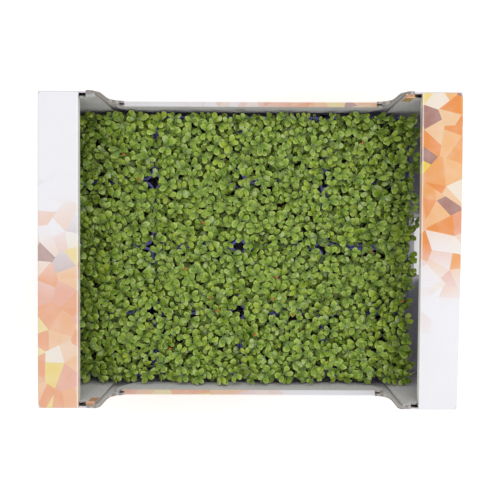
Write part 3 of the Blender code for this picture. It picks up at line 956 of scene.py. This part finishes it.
def layer_heights(draw, places):
    """A height for each leaf pair, as far as it can be from those of its close neighbours."""
    heights = np.full(len(places), np.nan)
    for index in draw.permutation(len(places)):
        gaps = np.linalg.norm(places - places[index], axis=1)
        close = (gaps < NEIGHBOUR_REACH) & ~np.isnan(heights)
        tries = draw.uniform(LOWEST_LEAF, HIGHEST_LEAF, HEIGHT_TRIES)
        if close.any():
            apart = np.abs(tries[:, None] - heights[close][None]).min(axis=1)
            heights[index] = tries[int(apart.argmax())]
        else:
            heights[index] = tries[0]
    return heights


def add_seedling(bunch, draw, sheet, top, outward, middle, pad_top):
    """A stem and its pair of seed leaves. outward is the share of the way to the cup's edge."""
    outline, faces = sheet
    reach = np.linalg.norm(outward)
    lean_heading = math.atan2(outward[1], outward[0]) + draw.normal(0, LEAN_TURN)
    lean = min(abs(draw.normal(MIDDLE_LEAN + EDGE_LEAN * reach ** 2, LEAN_SPREAD)), MOST_LEAN)
    turn = turn_matrix(draw.uniform(0, 2 * math.pi), lean, lean_heading)
    tint = draw.normal(*TINT)
    length = draw.uniform(*BLADE_LENGTH)
    blades = []
    for side, scale in ((1, 1.0), (-1, draw.uniform(*SMALLER_BLADE))):
        size = length * scale
        width = size * draw.uniform(*BLADE_WIDTH)
        points, along, across, shares = blade_shape(draw, outline, size, width)
        solid, solid_faces = closed_blade(points, faces, len(outline))
        solid = solid * np.array([side, side, 1.0]) @ turn.T
        shade = np.clip(tint + draw.normal(0, BLADE_TINT_SPREAD), 0, 1)
        shade = np.full(len(points), shade)
        marks = np.stack([shade, np.clip(across, 0, 1), shares, along], axis=1)
        blades.append((solid, solid_faces, np.concatenate([marks, marks])))
    whole = np.concatenate([blade[0] for blade in blades]) + top
    for axis, limit in ((0, HALF_LENGTH - BOARD - WALL_ROOM), (1, TUCK_INNER - WALL_ROOM)):
        past_high = max(0.0, whole[:, axis].max() - limit)
        past_low = min(0.0, whole[:, axis].min() + limit)
        top[axis] -= past_high + past_low
    for solid, solid_faces, marks in blades:
        bunch.add(solid + top, solid_faces, marks, 0)
    root = np.array([
        middle[0] + (top[0] - middle[0]) * ROOT_SPREAD[0],
        middle[1] + (top[1] - middle[1]) * ROOT_SPREAD[1],
        pad_top - ROOT_DEPTH,
    ])
    bow = draw.normal(0, STEM_BOW, 3) * np.array([1, 1, 0])
    tube, tube_faces = stem_tube(root, top, bow)
    bunch.add(tube, tube_faces, np.zeros((len(tube), 4)), 1)


def build_cress(index, materials, sheet):
    """The seedlings of one cup. By the carton's walls they reach to its rim, or over it."""
    draw = np.random.default_rng(1000 + index)
    cup_low, cup_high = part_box(CUP_NAMES[index])
    pad_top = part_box(PAD_NAMES[index])[1].z
    low = np.array([cup_low.x, cup_low.y]) + CUP_EDGE_ROOM
    high = np.array([cup_high.x, cup_high.y]) - CUP_EDGE_ROOM
    if cup_high.x > LEDGE_INNER:
        back = (cup_low.y + HALF_WIDTH) / (2 * HALF_WIDTH)
        high[0] = cup_high.x - OPEN_END_ROOM[0] - (OPEN_END_ROOM[1] - OPEN_END_ROOM[0]) * back
    if cup_high.y > HALF_WIDTH - NEAR_WALL:
        high[1] = cup_high.y - BACK_ROOM
    if cup_low.y < NEAR_WALL - HALF_WIDTH:
        low[1] = cup_low.y + FRONT_ROOM
    middle, half = (low + high) / 2, (high - low) / 2
    shift = np.clip(draw.normal(0, BUNCH_SHIFT, 2), -2 * BUNCH_SHIFT, 2 * BUNCH_SHIFT)
    places = mouth_places(draw, low, high, SEEDLINGS_PER_CUP) + shift
    heights = layer_heights(draw, places)
    bunch = Bunch()
    for place_xy, height in zip(places, heights):
        outward = (place_xy - middle) / half
        sink = EDGE_SINK * min(1.0, np.linalg.norm(outward)) ** 3
        top = np.array([place_xy[0], place_xy[1], height - sink])
        add_seedling(bunch, draw, sheet, top, outward, middle, pad_top)
    name = CRESS_NAMES[index]
    piece = add_object(name + "_seedlings", bunch.mesh(name + "_seedlings"), materials)
    place(piece, "cress_green", name)
    return np.concatenate(bunch.points)


def build_seed_coats(leaf_points, material):
    """A few empty seed coats, each a split shell that lies on the leaves under it."""
    draw = np.random.default_rng(5)
    work = bmesh.new()
    for x, y in SEED_COAT_SPOTS:
        near_spot = np.linalg.norm(leaf_points[:, :2] - (x, y), axis=1) < SPOT_REACH
        spot = Vector((x, y, leaf_points[near_spot, 2].max() + SEED_COAT_REST))
        made = bmesh.ops.create_uvsphere(work, u_segments=12, v_segments=8, radius=SEED_COAT_RADIUS)
        turn = draw.uniform(0, math.pi)
        for vertex in made["verts"]:
            x_in, y_in, z_in = vertex.co
            split = math.exp(-((x_in - SPLIT_AT) / SPLIT_WIDTH) ** 2) * (z_in > 0)
            dent = 1.0 - SPLIT_DEPTH * split
            x_in, y_in = x_in * SEED_COAT_STRETCH[0], y_in * dent
            vertex.co = spot + Vector((
                x_in * math.cos(turn) - y_in * math.sin(turn),
                x_in * math.sin(turn) + y_in * math.cos(turn),
                z_in * SEED_COAT_STRETCH[1] * dent,
            ))
    mesh = bpy.data.meshes.new("seed_coats")
    work.to_mesh(mesh)
    work.free()
    smooth(mesh, 60)
    place(add_object("seed_coats", mesh, [material]), "cress_green")


# The room


# The camera, fitted to the photograph: its size and centre in pixels, and pixels per millimetre.
PHOTO_SIZE = 500
SCALE_AT_LEDGE = 1.0665
CAMERA_OVER_LEDGE = 0.450
CAMERA_X = 0.0042
CAMERA_Y = 0.0242
CAMERA_TILT = math.radians(0.75)
CAMERA_ROLL = math.radians(0.22)
CENTRE_U = 254.3
CENTRE_V = 225.2
SENSOR = 36.0


def build_camera():
    """Looks down at the tray as the photograph does, from a little towards its far side."""
    focal = SCALE_AT_LEDGE * CAMERA_OVER_LEDGE * 1000
    camera = bpy.data.cameras.new("camera")
    camera.sensor_width = SENSOR
    camera.lens = focal / PHOTO_SIZE * SENSOR
    camera.clip_start = 0.01
    middle = PHOTO_SIZE / 2
    camera.shift_x = (middle - CENTRE_U) / PHOTO_SIZE
    camera.shift_y = (CENTRE_V + focal * math.tan(CAMERA_TILT) - middle) / PHOTO_SIZE
    obj = bpy.data.objects.new("camera", camera)
    obj.location = (CAMERA_X, CAMERA_Y, LEDGE_TOP + CAMERA_OVER_LEDGE)
    obj.rotation_euler = (-CAMERA_TILT, 0.0, CAMERA_ROLL)
    bpy.context.scene.collection.objects.link(obj)
    bpy.context.scene.camera = obj


LIT_POINT = Vector((0, 0, 0.05))


def add_softbox(name, location, size, power):
    """A square light that faces the middle of the tray."""
    light = bpy.data.lights.new(name, "AREA")
    light.shape = "SQUARE"
    light.size = size
    light.energy = power
    obj = bpy.data.objects.new(name, light)
    obj.location = location
    direction = LIT_POINT - Vector(location)
    obj.rotation_euler = direction.to_track_quat("-Z", "Y").to_euler()
    bpy.context.scene.collection.objects.link(obj)


FLOOR_HALF = 3.0
FLOOR_LEVEL = -0.0004
FLOOR_GLOW = 0.14
SKY_STRENGTH = 0.66
SOFTBOX_SIZE = 1.1
SOFTBOXES = [
    ("soft_east", (1.25, 0.1, 1.15), 7.2),
    ("soft_west", (-1.25, 0.0, 1.15), 4.6),
    ("soft_north", (0.1, 1.25, 1.15), 6.3),
    ("soft_south", (0.0, -1.25, 1.15), 4.4),
]


def build_room():
    """A white table, an even sky and four large lights."""
    mesh = bpy.data.meshes.new("floor")
    signs = ((-1, -1), (1, -1), (1, 1), (-1, 1))
    corners = [(x * FLOOR_HALF, y * FLOOR_HALF, FLOOR_LEVEL) for x, y in signs]
    mesh.from_pydata(corners, [], [(0, 1, 2, 3)])
    graph = Graph("floor_white", 0.7)
    graph.shader.inputs["Base Color"].default_value = (0.93, 0.93, 0.93, 1)
    graph.shader.inputs["Emission Color"].default_value = (1.0, 1.0, 1.0, 1)
    graph.shader.inputs["Emission Strength"].default_value = FLOOR_GLOW
    floor = add_object("floor", mesh, [graph.material])
    world = bpy.data.worlds.new("studio")
    world.use_nodes = True
    background = world.node_tree.nodes["Background"]
    background.inputs["Color"].default_value = (0.99, 0.99, 1.0, 1)
    background.inputs["Strength"].default_value = SKY_STRENGTH
    bpy.context.scene.world = world
    for name, location, power in SOFTBOXES:
        add_softbox(name, location, SOFTBOX_SIZE, power)
    bpy.context.scene.view_settings.view_transform = "Standard"


def main():
    build_camera()
    build_room()
    build_carton()
    cup_plastic = cup_material()
    fibre = pad_material()
    cress = [leaf_material(), stem_material()]
    pad_draw = np.random.default_rng(11)
    for cup, pad in zip(CUP_NAMES, PAD_NAMES):
        build_cup(cup, cup_plastic)
        build_pad(pad, pad_draw, fibre)
    sheet = blade_sheet()
    stands = [build_cress(index, cress, sheet) for index in range(len(CRESS_NAMES))]
    build_seed_coats(np.concatenate(stands), seed_coat_material())


main()
